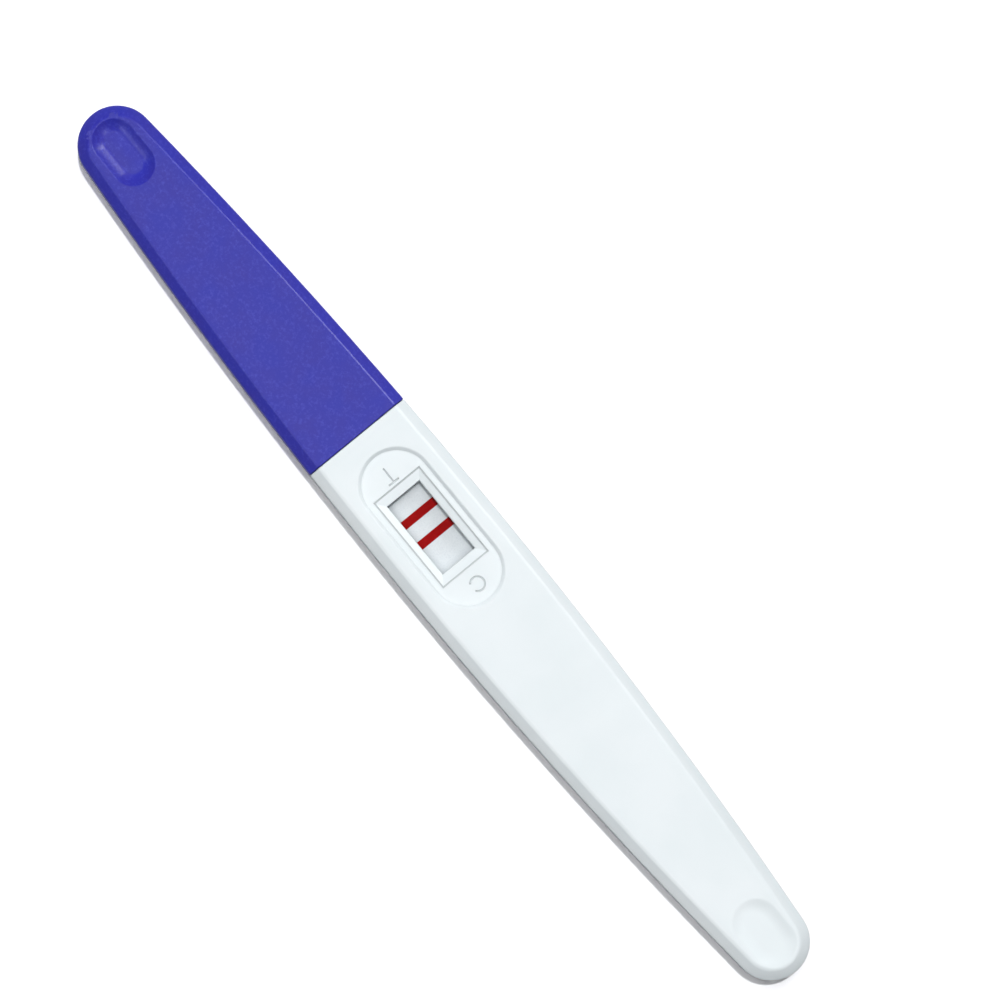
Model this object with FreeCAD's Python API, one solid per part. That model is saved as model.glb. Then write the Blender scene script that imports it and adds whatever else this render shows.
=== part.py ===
import FreeCAD, Part
import math
import os

from FreeCAD import Vector

# A midstream test stick, lying on its flat back, in millimetres.
# +X runs along the stick towards the closed end of the cap, +Z is up through the result window,
# and the origin is the middle of the underside.

# Outline in plan, shared by the case and the cap
overall_length = 142.2
widest_half_width = 8.05
widest_from_middle = -2.1
cap_end_radius = 5.2
handle_end_radius = 5.1

# Cross-section
thickness = 7.4
parting_z = 3.7
side_draft = 0.1
top_bevel_run = 1.4
top_bevel_drop = 1.15
base_bevel_run = 0.8
base_bevel_drop = 0.8
seam_step = 0.07

# Cap
cap_length = 53.6
cap_wall = 1.0
mouth_gap = 0.1
cap_indent_length = 9.7
cap_indent_width = 5.75
cap_indent_depth = 0.95
cap_indent_from_tip = 1.55

# Case, its neck under the cap and the nose that holds the wick
case_wall = 1.2
shoulder_wall = 1.3
neck_length = 15.0
neck_wall = 0.85
neck_front_wall = 1.0
neck_front_radius = 7.5
fit_clearance = 0.12
grip_rib_height = 0.08
grip_rib_width = 1.2
grip_rib_half_length = 3.5
grip_rib_from_mouth = 5.0
nose_length = 4.5
nose_wall = 0.9
nose_corner_radius = 0.6
handle_indent_length = 9.4
handle_indent_width = 6.2
handle_indent_depth = 0.45
handle_indent_from_tip = 1.9

# Locating lip between the two halves of the case
lip_thickness = 0.5
lip_height = 0.6
lip_clearance = 0.06
lip_from_shoulder = 1.5

# Round locating pins of the upper half, pressed into six-sided sockets of the lower half
pin_radius = 0.65
pin_reach = 1.6
pin_clearance = 0.03
boss_radius = 1.3
boss_from_cradle = 0.15
front_pins_from_shoulder = 3.2
rear_pins_from_card_end = 8.0
handle_pin_from_tip = 13.6

# Result window
window_from_mouth = 14.9
window_length = 11.2
window_width = 5.35
pocket_length = 13.85
pocket_width = 7.35
pocket_line_width = 0.2
pocket_line_depth = 0.27
pocket_step = 0.12
pocket_fall = 0.45
recess_length = 23.9
recess_width = 9.9
recess_behind_window = 0.1
recess_depth = 0.5
recess_wall_run = 0.4
well_wall = 1.0
window_to_membrane = 0.2

# Test strip
strip_width = 6.0
card_length = 57.0
card_thickness = 0.25
card_beyond_membrane = 10.0
membrane_beyond_window = 6.8
membrane_length = 25.0
membrane_thickness = 0.15
line_width = 1.17
line_film = 0.03
test_line_from_window = 2.35
control_line_from_window = -0.95
conjugate_length = 10.0
conjugate_thickness = 0.35
conjugate_overlap = 1.5
sink_thickness = 0.8
sink_overlap = 2.0
tape_thickness = 0.06
front_tape_reach = 1.5
pad_step_run = 0.6

# Wick
wick_thickness = 1.1
wick_back_overlap = 4.0
wick_tip_from_cap_tip = 14.0
wick_corner_radius = 1.0
wick_to_roof = 0.23

# Ribs that carry and hold down the strip and the wick
cradle_width = 0.8
cradle_pitch = 9.5
first_cradle_from_card_end = 2.85
cradle_cheek_below_window = 0.1
cradle_cheek_thickness = 0.6
strip_side_clearance = 0.15
hold_down_clearance = 0.05
hold_down_width = 0.8

# How far a cutter runs past what it cuts
spare = 1.0

# Places along the stick that follow from the sizes above
tip_x = overall_length / 2
widest_x = widest_from_middle
mouth_x = tip_x - cap_length
shoulder_x = mouth_x - shoulder_wall
neck_front_x = mouth_x + neck_length
nose_front_x = neck_front_x + nose_length
window_x = mouth_x - window_from_mouth
membrane_front_x = window_x + window_length / 2 + membrane_beyond_window
membrane_back_x = membrane_front_x - membrane_length
card_front_x = membrane_front_x + card_beyond_membrane
card_back_x = card_front_x - card_length
conjugate_back_x = membrane_front_x - conjugate_overlap
conjugate_front_x = conjugate_back_x + conjugate_length
sink_front_x = membrane_back_x + sink_overlap
wick_back_x = conjugate_front_x - wick_back_overlap
wick_tip_x = tip_x - wick_tip_from_cap_tip

# Levels: the strip hangs from the neck's roof, because the wick is squeezed in under it
neck_depth = cap_wall + fit_clearance
neck_roof_z = thickness - neck_depth - neck_wall
strip_bed_z = neck_roof_z - wick_to_roof - wick_thickness - conjugate_thickness - card_thickness
card_top = strip_bed_z + card_thickness
membrane_top = card_top + membrane_thickness
conjugate_top = card_top + conjugate_thickness
sink_top = card_top + sink_thickness
lip_z = membrane_top + window_to_membrane
recess_z = thickness - recess_depth
case_roof_z = thickness - case_wall

# Half widths
strip_half = strip_width / 2
channel_half = strip_half + strip_side_clearance
cradle_half = channel_half + cradle_cheek_thickness
pin_pair_y = cradle_half + boss_from_cradle + boss_radius
channel_top = strip_bed_z + wick_thickness + hold_down_clearance
reach = overall_length


def side_arc_radius(end_x, end_radius):
    """Radius of the long side arc that is tangent to an end circle and flat at the widest place."""
    run = abs(end_x - widest_x)
    rise = widest_half_width - end_radius
    return (run ** 2 + widest_half_width ** 2 - end_radius ** 2) / (2 * rise)


def side_stretch(end_x, end_radius, inset):
    """One long side: its start on the end circle, its middle and its finish at the widest place."""
    radius = side_arc_radius(end_x, end_radius)
    centre = Vector(widest_x, widest_half_width - radius, 0)
    to_end = (Vector(end_x, 0, 0) - centre).normalize()
    to_middle = (to_end + Vector(0, 1, 0)).normalize()
    size = radius - inset
    return [centre + direction * size for direction in (to_end, to_middle, Vector(0, 1, 0))]


def outline(inset, z):
    """The stick's plan outline, moved inwards by inset and lifted to z: six tangent arcs."""
    handle_side = side_stretch(handle_end_radius - tip_x, handle_end_radius, inset)
    cap_side = side_stretch(tip_x - cap_end_radius, cap_end_radius, inset)
    cap_side.reverse()
    handle_tip = Vector(inset - tip_x, 0, 0)
    cap_tip = Vector(tip_x - inset, 0, 0)

    def mirrored(points):
        return [Vector(point.x, -point.y, 0) for point in reversed(points)]

    arcs = [
        handle_side,
        cap_side,
        [cap_side[2], cap_tip, mirrored(cap_side)[0]],
        mirrored(cap_side),
        mirrored(handle_side),
        [mirrored(handle_side)[2], handle_tip, handle_side[0]],
    ]
    wire = Part.Wire([Part.Arc(*points).toShape() for points in arcs])
    wire.translate(Vector(0, 0, z))
    return wire


def stack(stations):
    """A solid whose outline has the given inset at each height, with straight walls between."""
    return Part.makeLoft([outline(inset, z) for inset, z in stations], True, True)


def outer_stations(step=0.0):
    """Section of the outside: flat base, base bevel, drafted side, top bevel and flat top."""
    return [
        (side_draft + base_bevel_run, 0.0),
        (side_draft, base_bevel_drop),
        (step, parting_z),
        (side_draft, thickness - top_bevel_drop),
        (side_draft + top_bevel_run, thickness),
    ]


def crossing(line, other):
    """Where two lines of the section meet, each given as a point and a direction."""
    (start, along), (far_start, far_along) = line, other
    cross = along[0] * far_along[1] - along[1] * far_along[0]
    gap = (far_start[0] - start[0], far_start[1] - start[1])
    share = (gap[0] * far_along[1] - gap[1] * far_along[0]) / cross
    return (start[0] + along[0] * share, start[1] + along[1] * share)


def inner_stations(depth):
    """The outer section moved inwards by the same depth on every side.

    A bevel that is too short for the depth runs out, and its neighbours meet instead.
    """
    points = outer_stations()
    closed = [(points[0][0] + spare, points[0][1])] + points + [(points[-1][0] + spare, points[-1][1])]
    lines = []
    for (x0, z0), (x1, z1) in zip(closed, closed[1:]):
        size = math.hypot(x1 - x0, z1 - z0)
        shift = (depth * (z1 - z0) / size, -depth * (x1 - x0) / size)
        lines.append(((x0 + shift[0], z0 + shift[1]), (x1 - x0, z1 - z0)))
    while True:
        corners = [crossing(line, other) for line, other in zip(lines, lines[1:])]
        lost = [
            index
            for index in range(1, len(lines) - 1)
            if corners[index][1] <= corners[index - 1][1]
        ]
        if not lost:
            return corners
        del lines[lost[0]]


def block(x0, x1, half_width, z0, z1):
    """A box about the stick's centreline."""
    return Part.makeBox(x1 - x0, 2 * half_width, z1 - z0, Vector(x0, -half_width, z0))


def between_x(shape, x0, x1):
    return shape.common(block(x0, x1, reach, -reach, reach))


def below(shape, z):
    return shape.common(block(-reach, reach, reach, -reach, z))


def above(shape, z):
    return shape.common(block(-reach, reach, reach, z, reach))


def upright(x, y, z0, z1, radius):
    return Part.makeCylinder(radius, z1 - z0, Vector(x, y, z0))


def hexagonal(x, y, z0, z1, flat_radius):
    """An upright six-sided prism, given by the radius of the circle that fits inside it."""
    corner_radius = flat_radius / math.cos(math.pi / 6)
    corners = []
    for index in range(7):
        turn = math.pi / 3 * index
        corners.append(Vector(x + corner_radius * math.cos(turn), y + corner_radius * math.sin(turn), z0))
    return Part.Face(Part.makePolygon(corners)).extrude(Vector(0, 0, z1 - z0))


def extruded(points, half_width):
    """A side profile in X and Z, drawn out across the stick."""
    wire = Part.makePolygon([Vector(x, -half_width, z) for x, z in points + points[:1]])
    return Part.Face(wire).extrude(Vector(0, 2 * half_width, 0))


def dish(middle_x, length, width, depth):
    """A cutter shaped like a capsule: it leaves an obround dish of this size in the top face."""
    radius = (width ** 2 / 4 + depth ** 2) / (2 * depth)
    half = (length - width) / 2
    centre_z = thickness - depth + radius
    rod = Part.makeCylinder(radius, 2 * half, Vector(middle_x - half, 0, centre_z), Vector(1, 0, 0))
    balls = [Part.makeSphere(radius, Vector(middle_x + side * half, 0, centre_z)) for side in (-1, 1)]
    return rod.fuse(balls)


def obround(middle_x, length, width, z):
    """A flat obround wire."""
    radius = width / 2
    half = length / 2 - radius
    near = Vector(middle_x - half, 0, z)
    far = Vector(middle_x + half, 0, z)
    up = Vector(0, radius, 0)
    out = Vector(radius, 0, 0)
    return Part.Wire([
        Part.LineSegment(near + up, far + up).toShape(),
        Part.Arc(far + up, far + out, far - up).toShape(),
        Part.LineSegment(far - up, near - up).toShape(),
        Part.Arc(near - up, near - out, near + up).toShape(),
    ])


def rectangle(middle_x, length, width, z):
    """A flat rectangular wire."""
    x0 = middle_x - length / 2
    x1 = middle_x + length / 2
    y = width / 2
    corners = [Vector(x0, -y, z), Vector(x1, -y, z), Vector(x1, y, z), Vector(x0, y, z), Vector(x0, -y, z)]
    return Part.makePolygon(corners)


def taper(low, high):
    return Part.makeLoft([low, high], True, True)


def ribbon(path, depth, half_width=strip_half):
    """A strip of even thickness whose underside follows a path in X and Z."""
    return extruded(path + [(x, z + depth) for x, z in reversed(path)], half_width)


def plan_front(front_x, radius):
    """Everything behind a front that is rounded in plan."""
    centre_x = front_x - radius
    drum = Part.makeCylinder(radius, 2 * reach, Vector(centre_x, 0, -reach))
    return drum.fuse(block(-reach, centre_x, reach, -reach, reach))


def neck_form(depth, shorter):
    """The neck's outside or inside: the case's section moved inwards, with a rounded front."""
    body = between_x(stack(inner_stations(depth)), shoulder_x, tip_x)
    return body.common(plan_front(neck_front_x - shorter, neck_front_radius - shorter))


def nose_form():
    """The block in front of the neck that grips the wick."""
    half = channel_half + nose_wall
    form = block(neck_front_x - 2 * neck_front_wall, nose_front_x, half, strip_bed_z - nose_wall,
                 channel_top + nose_wall)
    along = [edge for edge in form.Edges if edge.BoundBox.XLength > nose_length]
    return form.makeFillet(nose_corner_radius, along)


def neck_outside():
    """Neck, nose and the low ribs across the neck's top and bottom that grip the cap."""
    form = neck_form(neck_depth, 0).fuse(nose_form())
    reach_z = neck_depth - grip_rib_height
    for place in (grip_rib_from_mouth, 2 * grip_rib_from_mouth):
        x0 = mouth_x + place - grip_rib_width / 2
        form = form.fuse(block(x0, x0 + grip_rib_width, grip_rib_half_length, reach_z, thickness - reach_z))
    return form


def case_inside():
    """The hollow of the case, running on through the neck, and the wick's channel in the nose."""
    hollow = between_x(stack(inner_stations(case_wall)), -reach, shoulder_x)
    neck_hollow = neck_form(neck_depth + neck_wall, neck_front_wall)
    channel_x = neck_front_x - neck_front_radius
    channel = block(channel_x, nose_front_x + spare, channel_half, strip_bed_z, channel_top)
    return hollow.fuse([neck_hollow, channel])


def pin_places():
    """Two pairs beside the strip and a single one in the handle."""
    pair_x = (shoulder_x - front_pins_from_shoulder, card_back_x + rear_pins_from_card_end)
    pairs = [(x, side * pin_pair_y) for x in pair_x for side in (-1, 1)]
    return pairs + [(handle_pin_from_tip - tip_x, 0)]


def lip_ring(outer_inset, inner_inset, height):
    """A band along the joint of the two halves, open at the shoulder."""
    outer = Part.Face(outline(outer_inset, parting_z)).extrude(Vector(0, 0, height))
    inner = Part.Face(outline(inner_inset, parting_z)).extrude(Vector(0, 0, height))
    return between_x(outer.cut(inner), -reach, shoulder_x - lip_from_shoulder)


def cradle_places():
    """Ribs under the strip and the wick's root, evenly spaced from the strip's back end."""
    first = card_back_x + first_cradle_from_card_end
    count = int((neck_front_x - neck_front_wall - first) / cradle_pitch)
    return [first + cradle_pitch * index for index in range(count + 1)]


def cradle(x, case_form):
    """A cross rib that carries the strip, with a cheek on each side of it."""
    x0 = x - cradle_width / 2
    rib = block(x0, x0 + cradle_width, reach, 0, strip_bed_z).common(case_form)
    cheeks = block(x0, x0 + cradle_width, cradle_half, case_wall, lip_z - cradle_cheek_below_window)
    return rib.fuse(cheeks.cut(block(x0, x0 + cradle_width, channel_half, strip_bed_z, reach)))


def hold_down(x, strip_z, roof_z):
    """A rib under the roof that stops just above the strip."""
    x0 = x - hold_down_width / 2
    return block(x0, x0 + hold_down_width, strip_half, strip_z + hold_down_clearance, roof_z)


def window_tub():
    """The walls of the window's well, from the roof down to just above the membrane."""
    half_length = window_length / 2 + well_wall
    return block(window_x - half_length, window_x + half_length, window_width / 2 + well_wall, lip_z, recess_z)


def window_hollow():
    """What is cut from the top: an obround recess, a dished pocket in a thin groove, and the deep well."""
    recess_x = window_x - recess_behind_window
    floor = obround(recess_x, recess_length - 2 * recess_wall_run, recess_width - 2 * recess_wall_run, recess_z)
    recess = taper(floor, obround(recess_x, recess_length, recess_width, thickness))
    step_z = recess_z - pocket_step
    rim_z = step_z - pocket_fall
    step = Part.Face(rectangle(window_x, pocket_length, pocket_width, step_z)).extrude(Vector(0, 0, pocket_step))
    pocket = taper(rectangle(window_x, window_length, window_width, rim_z),
                   rectangle(window_x, pocket_length, pocket_width, step_z))
    well = Part.Face(rectangle(window_x, window_length, window_width, lip_z - spare))
    well = well.extrude(Vector(0, 0, rim_z - lip_z + spare))
    line_z = recess_z - pocket_line_depth
    line, inside = [
        Part.Face(rectangle(window_x, pocket_length + side, pocket_width + side, line_z))
        for side in (pocket_line_width, -pocket_line_width)]
    groove = line.cut(inside).extrude(Vector(0, 0, pocket_line_depth))
    return recess.fuse([step, pocket, well, groove])


def make_upper_shell():
    """Upper half of the case, with the window, the handle's dish, pins and hold-down ribs."""
    case = between_x(stack(outer_stations()), -reach, mouth_x)
    handle_dish = dish(handle_indent_from_tip + handle_indent_length / 2 - tip_x,
                       handle_indent_length, handle_indent_width, handle_indent_depth)
    case = case.cut(handle_dish)
    shell = above(case.fuse(neck_outside()), parting_z).cut(case_inside())
    shell = shell.cut(lip_ring(case_wall - lip_thickness - lip_clearance, case_wall + lip_thickness,
                               lip_height + lip_clearance))
    rest = [window_tub()]
    for x, y in pin_places():
        rest.append(upright(x, y, parting_z, case_roof_z, boss_radius))
        rest.append(upright(x, y, parting_z - pin_reach, parting_z, pin_radius))
    for x in (sink_front_x - cradle_pitch / 2, card_back_x + cradle_pitch / 2):
        rest.append(hold_down(x, sink_top + tape_thickness, case_roof_z))
    rest.append(hold_down((wick_back_x + conjugate_front_x) / 2, conjugate_top + wick_thickness, neck_roof_z))
    return shell.fuse(rest).cut(window_hollow()).removeSplitter()


def make_lower_shell():
    """Lower half of the case, with the strip's cradles, the sockets and the locating lip."""
    case = between_x(stack(outer_stations(seam_step)), -reach, mouth_x)
    form = below(case.fuse(neck_outside()), parting_z)
    shell = form.cut(case_inside())
    shell = shell.fuse(lip_ring(case_wall - lip_thickness, case_wall, lip_height))
    for x in cradle_places():
        shell = shell.fuse(cradle(x, form))
    for x, y in pin_places():
        shell = shell.fuse(upright(x, y, case_wall / 2, parting_z, boss_radius))
        shell = shell.cut(hexagonal(x, y, parting_z - pin_reach - pin_clearance, parting_z + spare,
                                    pin_radius + pin_clearance))
    return shell.removeSplitter()


def make_cap():
    """Hollow cap in one piece: its roof dips inside under the thumb dish, so the wall stays even."""
    middle = tip_x - cap_indent_from_tip - cap_indent_length / 2
    outside = between_x(stack(outer_stations()), mouth_x + mouth_gap, reach)
    hollow = between_x(stack(inner_stations(cap_wall)), -reach, reach)
    thumb = dish(middle, cap_indent_length, cap_indent_width, cap_indent_depth)
    under_z = thickness - cap_indent_depth - cap_wall
    under = taper(obround(middle, cap_indent_length - 2 * cap_wall, cap_indent_width - 2 * cap_wall, under_z),
                  obround(middle, cap_indent_length + 2 * cap_wall, cap_indent_width + 2 * cap_wall, thickness))
    return outside.cut(hollow.cut(under)).cut(thumb).removeSplitter()


def strip_pieces():
    """The test strip's layers, each lying on the one below and stepping over its edge."""
    step_down = (card_front_x - conjugate_front_x) * (card_top - strip_bed_z) / conjugate_thickness
    conjugate_path = [
        (conjugate_front_x, card_top),
        (membrane_front_x + pad_step_run, card_top),
        (membrane_front_x, membrane_top),
        (conjugate_back_x, membrane_top),
    ]
    sink_path = [
        (card_back_x, card_top),
        (membrane_back_x - pad_step_run, card_top),
        (membrane_back_x, membrane_top),
        (sink_front_x, membrane_top),
    ]
    wick_path = [
        (wick_tip_x, strip_bed_z),
        (card_front_x + step_down, strip_bed_z),
        (conjugate_front_x, conjugate_top),
        (wick_back_x, conjugate_top),
    ]
    front_tape_path = [
        (wick_back_x, conjugate_top),
        (membrane_front_x + pad_step_run, conjugate_top),
        (membrane_front_x, membrane_top + conjugate_thickness),
        (conjugate_back_x, membrane_top + conjugate_thickness),
        (conjugate_back_x - pad_step_run, membrane_top),
        (conjugate_back_x - front_tape_reach, membrane_top),
    ]
    rear_tape_path = [(x, z + sink_thickness) for x, z in sink_path]
    wick = ribbon(wick_path, wick_thickness)
    tip_edges = [edge for edge in wick.Edges if edge.BoundBox.XMin > wick_tip_x - wick_corner_radius]
    corners = [edge for edge in tip_edges if edge.BoundBox.ZLength > wick_thickness / 2]
    return {
        "backing_card": ribbon([(card_front_x, strip_bed_z), (card_back_x, strip_bed_z)], card_thickness),
        "membrane": ribbon([(membrane_front_x, card_top), (membrane_back_x, card_top)], membrane_thickness),
        "test_line": line(window_x + test_line_from_window),
        "control_line": line(window_x + control_line_from_window),
        "conjugate_pad": ribbon(conjugate_path, conjugate_thickness),
        "sink_pad": ribbon(sink_path, sink_thickness),
        "front_cover_tape": ribbon(front_tape_path, tape_thickness),
        "rear_cover_tape": ribbon(rear_tape_path, tape_thickness),
        "absorbent_wick": wick.makeFillet(wick_corner_radius, corners),
    }


def line(x):
    """A line of dried reagent across the membrane."""
    return ribbon([(x + line_width / 2, membrane_top), (x - line_width / 2, membrane_top)], line_film)


pieces = {"upper_shell": make_upper_shell(), "lower_shell": make_lower_shell(), "cap": make_cap()}
pieces.update(strip_pieces())

os.makedirs("parts", exist_ok=True)
for name, shape in pieces.items():
    solids = len(shape.Solids)
    print(f"{name}: {solids} solid, {shape.Volume:.1f} mm3, valid {shape.isValid()}")
    shape.exportStep(f"parts/{name}.step")
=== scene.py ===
import bmesh
import bpy
import math

from mathutils import Matrix, Vector


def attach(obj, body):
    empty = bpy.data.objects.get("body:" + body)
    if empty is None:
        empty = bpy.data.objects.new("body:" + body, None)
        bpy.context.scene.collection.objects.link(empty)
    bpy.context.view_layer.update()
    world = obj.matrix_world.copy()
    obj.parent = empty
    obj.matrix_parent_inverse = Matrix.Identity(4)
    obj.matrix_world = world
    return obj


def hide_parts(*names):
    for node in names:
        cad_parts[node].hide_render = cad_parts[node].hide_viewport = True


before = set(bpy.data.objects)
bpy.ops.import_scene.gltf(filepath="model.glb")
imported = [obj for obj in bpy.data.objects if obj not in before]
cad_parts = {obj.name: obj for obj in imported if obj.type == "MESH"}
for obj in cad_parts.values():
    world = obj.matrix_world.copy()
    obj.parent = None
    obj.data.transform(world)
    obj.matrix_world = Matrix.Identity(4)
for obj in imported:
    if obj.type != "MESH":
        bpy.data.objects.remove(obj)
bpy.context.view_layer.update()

mm = 0.001   # the dictionaries give lengths in mm, Blender takes metres
bpy.ops.object.select_all(action="DESELECT")


# small helpers that every piece uses

def linear(hexColour):
    # sRGB hex to the linear colour that a socket holds
    parts = [int(hexColour[i:i + 2], 16) / 255 for i in (1, 3, 5)]
    return [c / 12.92 if c <= 0.04045 else ((c + 0.055) / 1.055) ** 2.4 for c in parts] + [1.0]


def addNode(tree, kind, settings):
    # a setting is a socket, by name or number, or else a property of the node;
    # a value that is a node or a socket is linked
    node = tree.nodes.new(kind)
    for name, value in settings.items():
        if isinstance(name, int):
            socket = node.inputs[name]
        else:
            socket = next((s for s in node.inputs if s.enabled and s.name == name), None)
        if isinstance(value, bpy.types.Node):
            value = next(s for s in value.outputs if s.enabled)
        if socket is None:
            setattr(node, name, value)
        elif isinstance(value, bpy.types.NodeSocket):
            tree.links.new(value, socket)
        else:
            socket.default_value = value
    return node


def newTree(owner):
    owner.use_nodes = True
    owner.node_tree.nodes.clear()
    return owner.node_tree


def onlySelect(piece):
    bpy.ops.object.select_all(action="DESELECT")
    piece.select_set(True)
    bpy.context.view_layer.objects.active = piece


def applyModifier(piece, kind, settings):
    onlySelect(piece)
    modifier = piece.modifiers.new(kind.lower(), kind)
    for name, value in settings.items():
        setattr(modifier, name, value)
    bpy.ops.object.modifier_apply(modifier=modifier.name)


# view: down on the stick, a little from its lower left side, its cap at the upper left

view = {
    "pixelsPerMm": 7.8,
    "imageSize": 1000,               # pixels
    "stickCentre": (443.8, 543.1),   # pixel where the middle of the stick lies
    "axis": (0.6342, 0.7731),        # from cap to handle in the image, x right and y down
    "lens": 200,                     # long, because the photograph shows almost no perspective
    "sensor": 36,
    "level": 5.5,                    # height over the floor at which the scale holds
    "lean": 0.04,                    # slope of the view, towards +Y
    "clip": (10, 10000),
}


def makeCamera():
    ax, ay = view["axis"]
    right = Vector((-ax, -ay, 0))
    up = Vector((ay, -ax, 0))
    back = Vector((0, view["lean"], 1)).normalized()
    half = view["imageSize"] / 2
    aside = (half - view["stickCentre"][0]) / view["pixelsPerMm"]
    above = (view["stickCentre"][1] - half) / view["pixelsPerMm"]
    away = view["imageSize"] / view["pixelsPerMm"] * view["lens"] / view["sensor"]
    place = right * aside + up * above + Vector((0, 0, view["level"])) + back * away
    right = (right - back * right.dot(back)).normalized()
    turn = Matrix((right, back.cross(right), back)).transposed().to_euler()
    bpy.ops.object.camera_add(location=place * mm, rotation=turn)
    camera = bpy.context.object
    camera.name = "photoCamera"
    camera.data.lens = view["lens"]
    camera.data.sensor_width = view["sensor"]
    camera.data.clip_start = view["clip"][0] * mm
    camera.data.clip_end = view["clip"][1] * mm
    bpy.context.scene.camera = camera
    bpy.context.scene.view_settings.view_transform = "Standard"


makeCamera()
print("view: camera placed")


# light: a key lamp and a softbox nearly overhead, a side panel, and dim cards that only the gloss sees

light = {
    "keyTowards": (0.10, -0.12, 1.0),     # where the key lamp stands, seen from the stick
    "keyStrength": 1.47,
    "keyAngle": 1.6,                      # degrees, the soft edge of the thin shadow
    "panels": {                           # power in watts
        "softbox": {"place": (80, 70, 620), "size": (420, 420), "power": 1.42, "glossOnly": False},
        "sidePanel": {"place": (220, -380, 420), "size": (420, 260), "power": 1.12, "glossOnly": False},
        # a faint veil on the flat tops, a gleam along the creases of each side, and one on the handle
        "veilCard": {"place": (0, 0, 640), "size": (420, 420), "power": 0.22, "glossOnly": True},
        "sideCard": {"place": (25, -400, 330), "size": (120, 260), "power": 0.8, "glossOnly": True},
        "farCard": {"place": (60, 420, 330), "size": (420, 120), "power": 0.4, "glossOnly": True},
        "handleCard": {"place": (-300, -60, 420), "size": (160, 220), "power": 0.4, "glossOnly": True},
    },
    "fill": 0.05,
    "fillColour": "#F4F7FA",
    "beyond": "#FFFFFF",                  # what the camera sees past the floor
}


def aimed(place):
    return (-Vector(place)).to_track_quat("-Z", "Y").to_euler()


def addPanel(name, panel):
    bpy.ops.object.light_add(
        type="AREA", location=Vector(panel["place"]) * mm, rotation=aimed(panel["place"]))
    lamp = bpy.context.object
    lamp.name = name
    lamp.data.shape = "RECTANGLE"
    lamp.data.size = panel["size"][0] * mm
    lamp.data.size_y = panel["size"][1] * mm
    lamp.data.energy = panel["power"]
    lamp.visible_camera = False
    lamp.visible_diffuse = not panel["glossOnly"]
    lamp.visible_glossy = panel["glossOnly"]   # a panel that lights the object isn't mirrored in it


def makeLight():
    bpy.ops.object.light_add(type="SUN", rotation=aimed(light["keyTowards"]))
    key = bpy.context.object
    key.name = "keyLamp"
    key.data.energy = light["keyStrength"]
    key.data.angle = math.radians(light["keyAngle"])
    key.visible_glossy = False   # its mirror image would veil the flat top of the cap
    for name, panel in light["panels"].items():
        addPanel(name, panel)
    world = bpy.data.worlds.new("studio")
    bpy.context.scene.world = world
    tree = newTree(world)
    ray = addNode(tree, "ShaderNodeLightPath", {})
    fill = addNode(tree, "ShaderNodeBackground", {
        "Color": linear(light["fillColour"]), "Strength": light["fill"]})
    seen = addNode(tree, "ShaderNodeBackground", {"Color": linear(light["beyond"]), "Strength": 1.0})
    both = addNode(tree, "ShaderNodeMixShader", {0: ray.outputs["Is Camera Ray"], 1: fill, 2: seen})
    addNode(tree, "ShaderNodeOutputWorld", {"Surface": both})


makeLight()
print("light: set")


# floor: white paper, which keeps the stick's thin shadow

floor = {
    "size": 3000,
    "drop": 0.02,           # how far it lies under the stick
    "colour": "#B4B4B6",    # as the stick's sides see it
    "extra": "#E9E9EB",     # added where the camera looks at it, so that lit paper is plain white
}


def makeFloor():
    bpy.ops.mesh.primitive_plane_add(size=floor["size"] * mm, location=(0, 0, -floor["drop"] * mm))
    sheet = bpy.context.object
    sheet.name = "paperFloor"
    material = bpy.data.materials.new("coatedPaperWhite")   # an even white with no gloss
    tree = newTree(material)
    ray = addNode(tree, "ShaderNodeLightPath", {})
    paper = addNode(tree, "ShaderNodeBsdfDiffuse", {"Color": linear(floor["colour"])})
    extra = addNode(tree, "ShaderNodeBsdfDiffuse", {"Color": linear(floor["extra"])})
    lifted = addNode(tree, "ShaderNodeAddShader", {0: paper, 1: extra})
    both = addNode(tree, "ShaderNodeMixShader", {0: ray.outputs["Is Camera Ray"], 1: paper, 2: lifted})
    addNode(tree, "ShaderNodeOutputMaterial", {"Surface": both})
    sheet.data.materials.append(material)


makeFloor()
print("floor: laid")


# finishes of the mouldings

whiteCase = {
    "colour": "#EFF6F9",
    "flow": "#EBF3F6",      # flow marks, only just darker
    "flowSize": 9.0,
    "grainSize": 0.14,      # drawn coarser than the real 0.03 to 0.05, so that it shows
    "grainHeight": 0.0035,
    "paintedCreviceShade": "#ABB1B4",   # painted shade: darker in grooves and corners, where shade gathers
    "paintedShadeReach": 0.4,
    "roughness": 0.42,
    "ior": 1.59,            # polystyrene
}
violetCap = {
    "colour": "#3336B0",
    "flow": "#3936A9",
    "flowSize": 3.5,
    "speck": "#4649BE",     # tips of the grain, paler
    "speckSize": 0.42,      # drawn coarser than real, as the grain is
    "grainSize": 0.26,      # drawn coarser than the real 0.05 to 0.1, so that it shows
    "grainHeight": 0.016,
    "roughness": 0.3,
    "ior": 1.49,            # polypropylene
}


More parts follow.
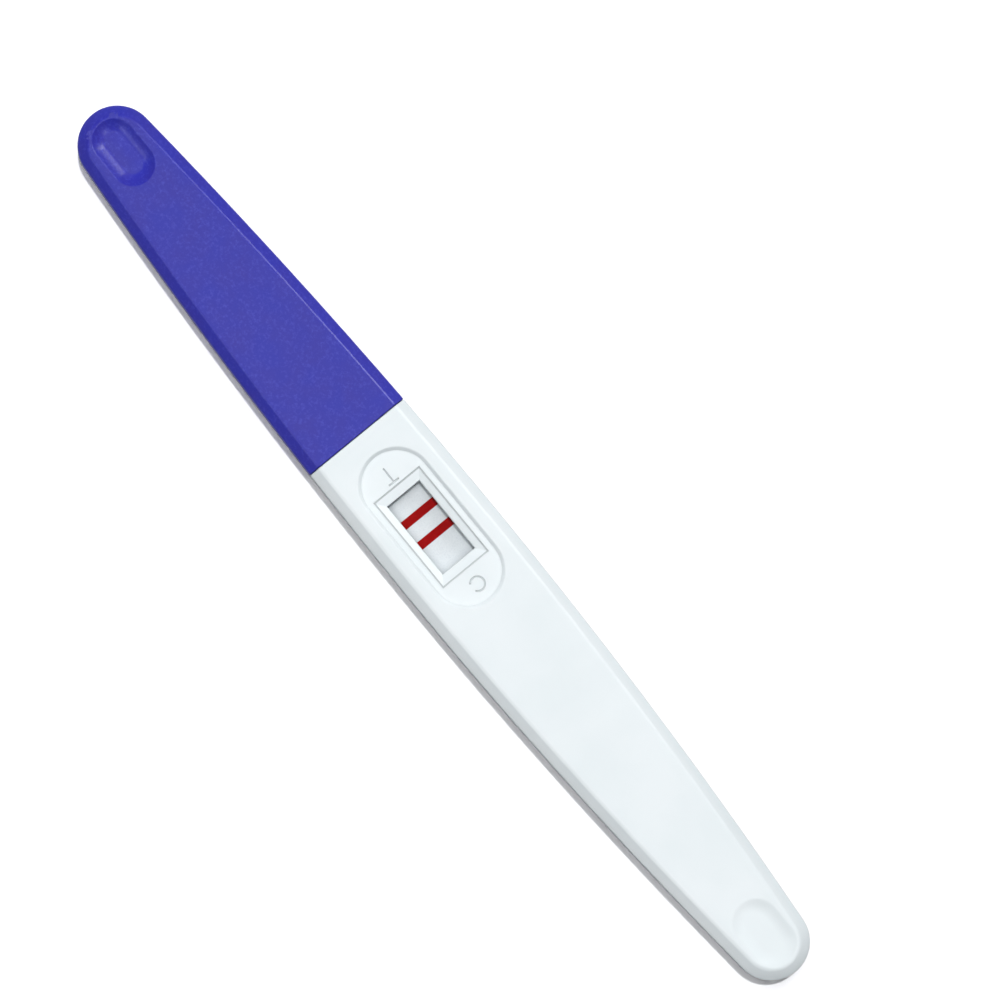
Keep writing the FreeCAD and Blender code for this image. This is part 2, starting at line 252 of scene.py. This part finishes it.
def whiteStyrene():
    # high-impact polystyrene, injection moulded in a finely eroded tool: an even, satin, cool white
    material = bpy.data.materials.new("whiteStyreneSatin")
    tree = newTree(material)
    points = addNode(tree, "ShaderNodeTexCoord", {}).outputs["Object"]
    flow = addNode(tree, "ShaderNodeTexNoise", {
        "Vector": points, "Scale": 1 / (whiteCase["flowSize"] * mm), "Detail": 2.0})
    flowShare = addNode(tree, "ShaderNodeMapRange", {"Value": flow, "From Min": 0.35, "From Max": 0.65})
    colour = addNode(tree, "ShaderNodeMix", {
        "data_type": "RGBA", "Factor": flowShare,
        "A": linear(whiteCase["colour"]), "B": linear(whiteCase["flow"])})
    # painted shade: the colour darkens where the surface is closed in, in grooves and corners
    openness = addNode(tree, "ShaderNodeAmbientOcclusion", {
        "samples": 12, "only_local": True, "Distance": whiteCase["paintedShadeReach"] * mm})
    paintedShadeShare = addNode(tree, "ShaderNodeMapRange", {
        "Value": openness.outputs["AO"], "From Min": 0.3, "From Max": 0.95, "To Min": 1.0, "To Max": 0.0})
    colour = addNode(tree, "ShaderNodeMix", {
        "data_type": "RGBA", "Factor": paintedShadeShare, "A": colour, "B": linear(whiteCase["paintedCreviceShade"])})
    grain = addNode(tree, "ShaderNodeTexNoise", {
        "Vector": points, "Scale": 1 / (whiteCase["grainSize"] * mm), "Detail": 3.0})
    bump = addNode(tree, "ShaderNodeBump", {"Height": grain, "Distance": whiteCase["grainHeight"] * mm})
    shader = addNode(tree, "ShaderNodeBsdfPrincipled", {
        "Base Color": colour, "Normal": bump,
        "Roughness": whiteCase["roughness"], "IOR": whiteCase["ior"]})
    addNode(tree, "ShaderNodeOutputMaterial", {"Surface": shader})
    return material


def violetPropylene():
    # pigmented polypropylene from a spark-eroded tool: a fine even grain under a soft, waxy sheen
    material = bpy.data.materials.new("violetPropyleneGrained")
    tree = newTree(material)
    points = addNode(tree, "ShaderNodeTexCoord", {}).outputs["Object"]
    flow = addNode(tree, "ShaderNodeTexNoise", {
        "Vector": points, "Scale": 1 / (violetCap["flowSize"] * mm), "Detail": 2.0})
    flowShare = addNode(tree, "ShaderNodeMapRange", {"Value": flow, "From Min": 0.3, "From Max": 0.7})
    base = addNode(tree, "ShaderNodeMix", {
        "data_type": "RGBA", "Factor": flowShare,
        "A": linear(violetCap["colour"]), "B": linear(violetCap["flow"])})
    specks = addNode(tree, "ShaderNodeTexNoise", {
        "Vector": points, "Scale": 1 / (violetCap["speckSize"] * mm), "Detail": 3.0, "Roughness": 0.7})
    speckShare = addNode(tree, "ShaderNodeMapRange", {"Value": specks, "From Min": 0.5, "From Max": 0.75})
    colour = addNode(tree, "ShaderNodeMix", {
        "data_type": "RGBA", "Factor": speckShare, "A": base, "B": linear(violetCap["speck"])})
    grain = addNode(tree, "ShaderNodeTexNoise", {
        "Vector": points, "Scale": 1 / (violetCap["grainSize"] * mm), "Detail": 2.0})
    bump = addNode(tree, "ShaderNodeBump", {"Height": grain, "Distance": violetCap["grainHeight"] * mm})
    shader = addNode(tree, "ShaderNodeBsdfPrincipled", {
        "Base Color": colour, "Normal": bump,
        "Roughness": violetCap["roughness"], "IOR": violetCap["ior"]})
    addNode(tree, "ShaderNodeOutputMaterial", {"Surface": shader})
    return material


whiteFinish = whiteStyrene()
violetFinish = violetPropylene()
print("finishes: mouldings")


# the three mouldings: each starts from its solid and gets the rounded edges and smooth dishes
# that a tool gives. A place is a box: from and to in x, in distance from the middle, and in z.

moulding = {
    "top": 7.4,          # z of the top face
    "weld": 0.001,       # vertices nearer than this become one
    "flat": 0.3,         # degrees, faces that turn less are joined
    "crease": 20,        # degrees, edges that turn more are rounded
    "smooth": 26,        # degrees, edges that turn less are shaded smooth
    "faceWeight": 60,    # how much large faces lead the shading
    "spineEnd": 66,      # half the length of the middle line that an edge looks away from
    "probe": 0.01,       # a short step outwards or inwards
}
dishCutter = {
    "sides": 64,
    "rim": 0.2,          # how much wider it is above the face than at the lip
    "above": 0.4,        # how far it starts over the face
    "drop": 0.35,        # how far it goes straight down, before its rim closes on the lip
    "lipSteps": 5,
}
wide = (-99, 99)     # at any height
across = (0, 99)     # at any distance from the middle
# A dish eases down over the run of its wall, climbs again to the crown of its floor, and is drawn
# in steps as far as its reach, a share of its radius. A crease is rounded where it shows from its
# side or from a way in z that it is open to.
capMoulding = {
    # the coarse dish, and the whole top face, which closes in one piece
    "oldDish": [((59.7, 69.7), (0, 3.0), (6.41, 7.41)), ((17.5, 72), across, (7.39, 7.41))],
    "dish": {"middle": 64.6, "length": 9.5, "width": 5.75, "depth": 0.95, "lip": 0.08,
             "wall": 1.6, "ease": 1.4, "crown": 0.05, "climb": 1.2, "reach": 0.94, "steps": 24},
    "soft": {
        "openTo": (1, -1), "segments": 3,
        "edges": [
            (((17.59, 17.61), across, wide), 0.2),           # mouth
            (((17.59, 72), across, (7.39, 7.41)), 0.22),     # top crease, crisp
            (((17.59, 72), across, (6.24, 6.26)), 0.2),      # foot of the bevelled band
            (((17.59, 72), across, (-0.01, 0.81)), 0.2),     # edges of the underside
        ],
    },
}
upperMoulding = {
    "oldDish": [((-69.3, -59.7), (0, 3.2), (6.9, 7.41))],
    "dish": {"middle": -64.5, "length": 9.4, "width": 6.2, "depth": 0.45, "lip": 0.25,
             "wall": 1.7, "ease": 1.7, "crown": 0, "climb": 1, "reach": 0.94, "steps": 18},
    "soft": {
        "openTo": (1,), "segments": 4,
        "edges": [
            (((-3.1, 8.3), (0, 2.7), (6.3, 6.4)), 0.1),      # edge of the window's well
            (((-9.2, 14.2), (0, 4.6), (6.89, 6.91)), 0.06),  # foot of the recess wall
            (((-9.6, 14.6), (0, 5.0), (7.39, 7.41)), 0.15),  # rim of the recess
            (((17.49, 17.51), across, wide), 0.07),          # step at the cap's mouth
            (((-72, 17.51), across, (7.39, 7.41)), 0.32),    # top crease, soft
            (((-72, 17.51), across, (6.24, 6.26)), 0.15),    # foot of the bevelled band
            (((-72, 17.51), across, (3.69, 3.71)), 0.05),    # joint with the lower half
            (((32.4, 37.1), across, wide), 0.1),             # fronts of neck and nose
        ],
    },
}
lowerMoulding = {
    "soft": {
        "openTo": (-1,), "segments": 4,
        "edges": [
            (((17.49, 17.51), across, wide), 0.07),          # step at the cap's mouth
            (((-72, 17.51), across, (3.69, 3.71)), 0.05),    # joint with the upper half
            (((-72, 17.51), across, (-0.01, 0.01)), 0.15),   # flat back
            (((-72, 17.51), across, (0.79, 0.81)), 0.35),    # foot of the side wall
            (((32.4, 37.1), across, wide), 0.1),             # fronts of neck and nose
        ],
    },
}


def weld(piece):
    # leaves the piece in edit mode, selected all over
    onlySelect(piece)
    bpy.ops.object.mode_set(mode="EDIT")
    bpy.ops.mesh.select_all(action="SELECT")
    bpy.ops.mesh.remove_doubles(threshold=moulding["weld"] * mm)


def copyOfNode(node, name):
    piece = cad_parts[node].copy()
    piece.data = piece.data.copy()
    piece.name = piece.data.name = name
    bpy.context.scene.collection.objects.link(piece)
    piece.data.materials.clear()
    onlySelect(piece)
    bpy.ops.mesh.customdata_custom_splitnormals_clear()
    weld(piece)
    bpy.ops.mesh.dissolve_limited(angle_limit=math.radians(moulding["flat"]))
    bpy.ops.object.mode_set(mode="OBJECT")
    return piece


def cutAway(piece, cutter):
    applyModifier(piece, "BOOLEAN", {"operation": "DIFFERENCE", "object": cutter, "solver": "EXACT"})
    bpy.data.objects.remove(cutter)


def inPlace(point, place):
    (x0, x1), (y0, y1), (z0, z1) = place
    x, y, z = point.x / mm, abs(point.y) / mm, point.z / mm
    return x0 <= x <= x1 and y0 <= y <= y1 and z0 <= z <= z1


def pickFaces(piece, test):
    # leaves the piece in edit mode with only those faces selected
    onlySelect(piece)
    bpy.ops.object.mode_set(mode="EDIT")
    bpy.ops.mesh.select_mode(type="FACE")
    bpy.ops.mesh.select_all(action="DESELECT")
    bpy.ops.object.mode_set(mode="OBJECT")
    for face in piece.data.polygons:
        face.select = test(face)
    bpy.ops.object.mode_set(mode="EDIT")


def fillDish(piece, places):
    # takes the coarse dish out and closes the hole flat, so that it can be cut again finely
    points = piece.data.vertices
    pickFaces(piece, lambda face: any(
        all(inPlace(points[i].co, place) for i in face.vertices) for place in places))
    bpy.ops.mesh.delete(type="FACE")
    bpy.ops.mesh.select_mode(type="EDGE")
    bpy.ops.mesh.select_all(action="DESELECT")
    bpy.ops.mesh.select_non_manifold()
    bpy.ops.mesh.edge_face_add()
    bpy.ops.mesh.select_all(action="SELECT")
    bpy.ops.mesh.dissolve_limited(angle_limit=math.radians(moulding["flat"]))
    bpy.ops.object.mode_set(mode="OBJECT")


def fallAt(dish, run):
    # down a sloped wall, then gently up again towards the crown of the floor
    wall, crown, depth = dish["wall"] * mm, dish["crown"] * mm, dish["depth"] * mm
    if run < wall:
        return depth * (1 - (1 - run / wall) ** dish["ease"])
    climb = min(1.0, (run - wall) / (dish["climb"] * mm))
    return depth - crown * climb * climb * (3 - 2 * climb)


def dishProfile(dish):
    # how far in from the edge and how far down: a rounded lip, then the wall and the floor
    lip, radius = dish["lip"] * mm, dish["width"] / 2 * mm
    probe = moulding["probe"] * mm
    slope = fallAt(dish, probe) / probe
    profile = [(-lip, 0.0)]
    for step in range(1, dishCutter["lipSteps"]):
        share = step / dishCutter["lipSteps"]
        profile.append((-lip + 2 * lip * share, slope * lip * share ** 2))
    runs = [radius * dish["reach"] * step / dish["steps"] for step in range(dish["steps"] + 1)]
    return profile + [(run, fallAt(dish, run)) for run in runs if run > lip]


def cutDish(piece, dish):
    # a cutter drawn down from an obround in many small insets
    half = (dish["length"] - dish["width"]) / 2 * mm
    lip, radius = dish["lip"] * mm, dish["width"] / 2 * mm
    bpy.ops.mesh.primitive_circle_add(
        vertices=dishCutter["sides"], radius=radius + lip + dishCutter["rim"] * mm, fill_type="NGON",
        location=(0, 0, (moulding["top"] + dishCutter["above"]) * mm),
        rotation=(0, 0, math.pi / dishCutter["sides"]))
    cutter = bpy.context.object
    bpy.ops.object.transform_apply(location=True, rotation=True, scale=True)
    for vertex in cutter.data.vertices:
        vertex.co.x += math.copysign(half, vertex.co.x) + dish["middle"] * mm
    bpy.ops.object.mode_set(mode="EDIT")
    bpy.ops.mesh.select_mode(type="FACE")
    bpy.ops.mesh.select_all(action="SELECT")
    bpy.ops.mesh.extrude_region_move(
        TRANSFORM_OT_translate={"value": (0, 0, -dishCutter["drop"] * mm)})
    bpy.ops.mesh.inset(
        thickness=dishCutter["rim"] * mm, depth=(dishCutter["drop"] - dishCutter["above"]) * mm)
    profile = dishProfile(dish)
    for (run, fall), (nextRun, nextFall) in zip(profile, profile[1:]):
        bpy.ops.mesh.inset(thickness=nextRun - run, depth=fall - nextFall)
    bpy.ops.mesh.select_all(action="SELECT")
    bpy.ops.mesh.normals_make_consistent(inside=False)
    bpy.ops.object.mode_set(mode="OBJECT")
    cutAway(piece, cutter)


def softenEdges(piece, soft):
    # bevels every crease that can be seen from outside, each by the width of its place
    widest = max(width for place, width in soft["edges"])
    crease = math.radians(moulding["crease"])
    spineEnd = moulding["spineEnd"] * mm
    sheet = bmesh.new()
    sheet.from_mesh(piece.data)
    share = sheet.edges.layers.float.new("bevel_weight_edge")
    for edge in sheet.edges:
        if len(edge.link_faces) != 2 or abs(edge.calc_face_angle_signed(0)) < crease:
            continue
        middle = (edge.verts[0].co + edge.verts[1].co) / 2
        spine = Vector((min(max(middle.x, -spineEnd), spineEnd), 0, middle.z))
        out = (middle - spine).normalized()
        ways = [Vector((0, 0, side)) for side in soft["openTo"]] + [out]
        starts = [middle + way * moulding["probe"] * mm for way in ways]
        if not any(way.length and not piece.ray_cast(start, way)[0] for start, way in zip(starts, ways)):
            continue
        for place, width in soft["edges"]:
            if all(inPlace(vertex.co, place) for vertex in edge.verts):
                edge[share] = width / widest
                break
    sheet.to_mesh(piece.data)
    sheet.free()
    applyModifier(piece, "BEVEL", {
        "limit_method": "WEIGHT", "width": widest * mm, "segments": soft["segments"],
        "use_clamp_overlap": False, "miter_outer": "MITER_SHARP", "loop_slide": True})


def finishMoulding(piece, node, material, body):
    weld(piece)
    bpy.ops.object.mode_set(mode="OBJECT")
    bpy.ops.object.shade_smooth_by_angle(angle=math.radians(moulding["smooth"]))
    applyModifier(piece, "WEIGHTED_NORMAL", {
        "mode": "FACE_AREA", "weight": moulding["faceWeight"], "keep_sharp": True})
    piece.data.materials.append(material)
    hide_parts(node)
    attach(piece, body)


# plain marks for the test line and the control line, as shallow grooves in the recess floor

marks = {
    "floor": 6.9,   # z of the recess floor
    "sides": 16,    # of the round cutters; the turn below is in degrees
    "tee": {"x": 11.2, "height": 2.2, "bar": 1.6, "width": 0.24, "depth": 0.18},
    "cee": {"x": -6.75, "size": 2.15, "turn": 292, "steps": 40, "width": 0.26, "depth": 0.18},
}


def roundBar(start, end, mark):
    # a round bar that lies half sunk in the floor of the recess
    run = Vector(end) - Vector(start)
    middle = (Vector(start) + Vector(end)) / 2 * mm
    bpy.ops.mesh.primitive_cylinder_add(
        vertices=marks["sides"], radius=mark["width"] / 2 * mm, depth=run.length * mm,
        location=(middle.x, middle.y, marks["floor"] * mm),
        rotation=Vector((run.x, run.y, 0)).to_track_quat("Z", "Y").to_euler())
    bar = bpy.context.object
    bpy.ops.object.transform_apply(location=True, rotation=True, scale=True)
    return bar


def roundArc(mark):
    # the same bar spun round into an arc that is open towards +Y
    ring = (mark["size"] - mark["width"]) / 2 * mm
    start = math.pi / 2 + math.radians(360 - mark["turn"]) / 2
    middle = Vector((mark["x"] * mm, 0, marks["floor"] * mm))
    bpy.ops.mesh.primitive_circle_add(
        vertices=marks["sides"], radius=mark["width"] / 2 * mm, fill_type="NGON",
        rotation=(math.pi / 2, 0, start),
        location=middle + Vector((math.cos(start), math.sin(start), 0)) * ring)
    arc = bpy.context.object
    bpy.ops.object.transform_apply(location=True, rotation=True, scale=True)
    bpy.ops.object.mode_set(mode="EDIT")
    bpy.ops.mesh.select_all(action="SELECT")
    bpy.ops.mesh.spin(
        steps=mark["steps"], angle=-math.radians(mark["turn"]), center=middle, axis=(0, 0, 1))
    bpy.ops.mesh.select_all(action="SELECT")
    bpy.ops.mesh.normals_make_consistent(inside=False)
    bpy.ops.object.mode_set(mode="OBJECT")
    return arc


def stretchDown(cutter, mark):
    # gives the round cutter its groove's depth, with its widest place at the recess floor
    floorLevel = marks["floor"] * mm
    for vertex in cutter.data.vertices:
        vertex.co.z = floorLevel + (vertex.co.z - floorLevel) * mark["depth"] / (mark["width"] / 2)


def cutMarks(piece):
    tee, cee = marks["tee"], marks["cee"]
    head = tee["x"] - tee["height"] / 2
    cutters = [
        (roundBar((head, 0), (head + tee["height"], 0), tee), tee),
        (roundBar((head, -tee["bar"] / 2), (head, tee["bar"] / 2), tee), tee),
        (roundArc(cee), cee),
    ]
    for cutter, mark in cutters:
        stretchDown(cutter, mark)
        cutAway(piece, cutter)


def makeCap():
    piece = copyOfNode("cap", "dressedCap")
    fillDish(piece, capMoulding["oldDish"])
    softenEdges(piece, capMoulding["soft"])
    cutDish(piece, capMoulding["dish"])
    finishMoulding(piece, "cap", violetFinish, "cap")


def makeUpperShell():
    piece = copyOfNode("upper_shell", "dressedUpperShell")
    fillDish(piece, upperMoulding["oldDish"])
    softenEdges(piece, upperMoulding["soft"])
    cutMarks(piece)
    cutDish(piece, upperMoulding["dish"])
    finishMoulding(piece, "upper_shell", whiteFinish, "case")


def makeLowerShell():
    piece = copyOfNode("lower_shell", "dressedLowerShell")
    softenEdges(piece, lowerMoulding["soft"])
    finishMoulding(piece, "lower_shell", whiteFinish, "case")


makeCap()
makeUpperShell()
makeLowerShell()
print("mouldings: dressed")


# the test strip: its layers keep their solids and get their own finishes

strip = {
    "membrane": {"colour": "#D8DDE0", "pore": "#CDD3D7", "poreSize": 0.16, "height": 0.004,
                 "shade": "#9AA0A4", "shadeReach": 1.1, "shadeShare": 0.45, "roughness": 0.85},
    "line": {"colour": "#920303", "thin": "#A20D0B", "patchSize": 0.45, "roughness": 0.7},
    "card": {"colour": "#F1F2EF", "cloud": "#E7E8E4", "cloudSize": 0.3, "roughness": 0.35, "ior": 1.53},
    "tape": {"colour": "#EEF3F5", "cloud": "#E2E9EC", "cloudSize": 1.2, "roughness": 0.12, "ior": 1.57},
    "conjugate": {"colour": "#D9B9BE", "fibre": "#C79AA3", "fibreSize": 0.12, "stretch": 8, "height": 0.03},
    "sink": {"colour": "#F2F0E9", "fibre": "#E2DFD6", "fibreSize": 0.2, "stretch": 3, "height": 0.04},
}


def membranePaper():
    # cast nitrocellulose: a dead matt white, its pores drawn far coarser than the real few microns
    look = strip["membrane"]
    material = bpy.data.materials.new("nitrocelluloseMatt")
    tree = newTree(material)
    points = addNode(tree, "ShaderNodeTexCoord", {}).outputs["Object"]
    pores = addNode(tree, "ShaderNodeTexNoise", {
        "Vector": points, "Scale": 1 / (look["poreSize"] * mm), "Detail": 4.0})
    share = addNode(tree, "ShaderNodeMapRange", {"Value": pores, "From Min": 0.45, "From Max": 0.75})
    colour = addNode(tree, "ShaderNodeMix", {
        "data_type": "RGBA", "Factor": share, "A": linear(look["colour"]), "B": linear(look["pore"])})
    openness = addNode(tree, "ShaderNodeAmbientOcclusion", {
        "samples": 12, "Distance": look["shadeReach"] * mm})
    shadeShare = addNode(tree, "ShaderNodeMapRange", {   # painted shade: darker beside the walls of the well, where their shadow falls
        "Value": openness.outputs["AO"], "From Min": 0.4, "From Max": 1.0,
        "To Min": look["shadeShare"], "To Max": 0.0})
    colour = addNode(tree, "ShaderNodeMix", {
        "data_type": "RGBA", "Factor": shadeShare, "A": colour, "B": linear(look["shade"])})
    bump = addNode(tree, "ShaderNodeBump", {"Height": pores, "Distance": look["height"] * mm})
    shader = addNode(tree, "ShaderNodeBsdfPrincipled", {
        "Base Color": colour, "Normal": bump, "Roughness": look["roughness"], "Specular IOR Level": 0.2})
    addNode(tree, "ShaderNodeOutputMaterial", {"Surface": shader})
    return material


def dyedLine():
    # red latex beads dried into the membrane: a deep matt red, thinner in patches drawn larger than real
    look = strip["line"]
    material = bpy.data.materials.new("redReagentDried")
    tree = newTree(material)
    points = addNode(tree, "ShaderNodeTexCoord", {}).outputs["Object"]
    patches = addNode(tree, "ShaderNodeTexNoise", {
        "Vector": points, "Scale": 1 / (look["patchSize"] * mm), "Detail": 3.0})
    share = addNode(tree, "ShaderNodeMapRange", {"Value": patches, "From Min": 0.5, "From Max": 0.9})
    colour = addNode(tree, "ShaderNodeMix", {
        "data_type": "RGBA", "Factor": share, "A": linear(look["colour"]), "B": linear(look["thin"])})
    shader = addNode(tree, "ShaderNodeBsdfPrincipled", {
        "Base Color": colour, "Roughness": look["roughness"], "Specular IOR Level": 0.15})
    addNode(tree, "ShaderNodeOutputMaterial", {"Surface": shader})
    return material


def plasticSheet(name, look):
    # backing card and cover film: smooth rolled plastic, glossier than the mouldings, a little cloudy
    material = bpy.data.materials.new(name)
    tree = newTree(material)
    points = addNode(tree, "ShaderNodeTexCoord", {}).outputs["Object"]
    cloud = addNode(tree, "ShaderNodeTexNoise", {
        "Vector": points, "Scale": 1 / (look["cloudSize"] * mm), "Detail": 2.0})
    colour = addNode(tree, "ShaderNodeMix", {
        "data_type": "RGBA", "Factor": cloud, "A": linear(look["colour"]), "B": linear(look["cloud"])})
    shader = addNode(tree, "ShaderNodeBsdfPrincipled", {
        "Base Color": colour, "Roughness": look["roughness"], "IOR": look["ior"]})
    addNode(tree, "ShaderNodeOutputMaterial", {"Surface": shader})
    return material


def fibrePad(name, look):
    # felted or bonded fibres that lie mostly along the strip: a soft, rough, dull surface;
    # they are drawn coarser than the real 0.01 to 0.03 mm, so that they show
    material = bpy.data.materials.new(name)
    tree = newTree(material)
    points = addNode(tree, "ShaderNodeTexCoord", {}).outputs["Object"]
    along = addNode(tree, "ShaderNodeMapping", {"Vector": points, "Scale": (1 / look["stretch"], 1, 1)})
    fibres = addNode(tree, "ShaderNodeTexNoise", {
        "Vector": along, "Scale": 1 / (look["fibreSize"] * mm),
        "Detail": 4.0, "Roughness": 0.65, "Distortion": 0.4})
    share = addNode(tree, "ShaderNodeMapRange", {"Value": fibres, "From Min": 0.35, "From Max": 0.7})
    colour = addNode(tree, "ShaderNodeMix", {
        "data_type": "RGBA", "Factor": share, "A": linear(look["fibre"]), "B": linear(look["colour"])})
    bump = addNode(tree, "ShaderNodeBump", {"Height": fibres, "Distance": look["height"] * mm})
    shader = addNode(tree, "ShaderNodeBsdfPrincipled", {
        "Base Color": colour, "Normal": bump, "Roughness": 0.92, "Specular IOR Level": 0.15,
        "Sheen Weight": 0.2, "Sheen Roughness": 0.6})
    addNode(tree, "ShaderNodeOutputMaterial", {"Surface": shader})
    return material


def finishStrip():
    film = plasticSheet("polyesterFilmGloss", strip["tape"])
    line = dyedLine()
    finishes = {
        "membrane": membranePaper(),
        "test_line": line,
        "control_line": line,
        "backing_card": plasticSheet("backingCardRolled", strip["card"]),
        "conjugate_pad": fibrePad("glassFibrePadDyed", strip["conjugate"]),
        "sink_pad": fibrePad("cottonLinterPad", strip["sink"]),
        "front_cover_tape": film,
        "rear_cover_tape": film,
    }
    for node, material in finishes.items():
        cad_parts[node].material_slots[0].material = material


finishStrip()
print("strip: layers finished")


# the wick: its solid made even and fine, then pulled in a little all over by its fibres

wick = {
    "voxel": 0.2,    # size of the even faces
    "ripple": 0.7,   # length of the ripples in its surface
    "pull": 0.06,    # their depth at most
    "look": {"colour": "#F3F1EA", "fibre": "#DEDBD2", "fibreSize": 0.14, "stretch": 10, "height": 0.05},
}


def makeWick():
    piece = copyOfNode("absorbent_wick", "dressedWick")
    applyModifier(piece, "REMESH", {"mode": "VOXEL", "voxel_size": wick["voxel"] * mm})
    ripple = bpy.data.textures.new("fibreRipple", "CLOUDS")
    ripple.noise_scale = wick["ripple"] * mm
    applyModifier(piece, "DISPLACE", {
        "texture": ripple, "texture_coords": "LOCAL", "strength": wick["pull"] * mm, "mid_level": 1.0})
    onlySelect(piece)
    bpy.ops.object.shade_smooth()
    piece.data.materials.append(fibrePad("bondedWickFibre", wick["look"]))
    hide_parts("absorbent_wick")
    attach(piece, "case")


makeWick()
print("wick: made")
